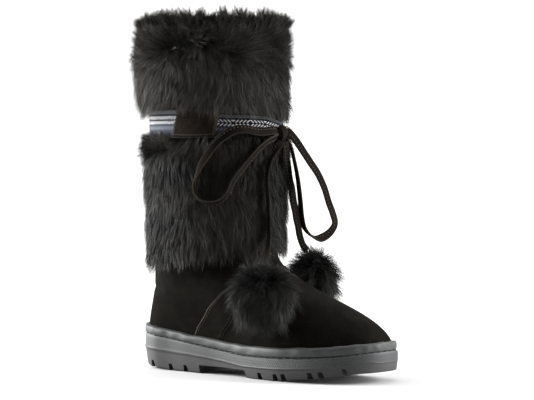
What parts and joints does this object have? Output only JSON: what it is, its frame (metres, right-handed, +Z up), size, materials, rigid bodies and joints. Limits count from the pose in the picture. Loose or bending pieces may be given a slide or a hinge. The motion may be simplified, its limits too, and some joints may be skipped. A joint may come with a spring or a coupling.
{
  "type": "winter boot",
  "caption": "Mid-calf winter boot for the right foot: suede foot and shaft on a lugged rubber sole, bands of deep fur, a woven ribbon, and a tied lace with pompoms.",
  "frame": {"origin": "on the floor, under the middle of the boot's own box without the lace and pompoms", "axes": "+X to the toe, +Y to the inner side of the foot, +Z up"},
  "size_m": [0.2738, 0.1494, 0.331],
  "materials": {
    "sole_rubber": "matte moulded",
    "midsole_rubber": "matte knurled",
    "welt_rubber": "matte moulded",
    "insole_fleece": "napped",
    "suede": "suede nap",
    "fur": "deep fur",
    "ribbon_weave": "woven",
    "lace_suede": "suede nap"
  },
  "bodies": {
    "root": {"outsole": "sole_rubber", "midsole": "midsole_rubber", "welt": "welt_rubber", "insole": "insole_fleece", "upper": "suede", "fur_shaft": "fur", "ribbon": "ribbon_weave", "fur_collar": "fur", "tab": "suede", "lace_knot": "lace_suede", "lace_loop_left": "lace_suede", "lace_loop_right": "lace_suede", "lace_tail_left": "lace_suede", "lace_tail_right": "lace_suede", "pompom_left": "fur", "pompom_right": "fur"}
  },
  "joints": []
}
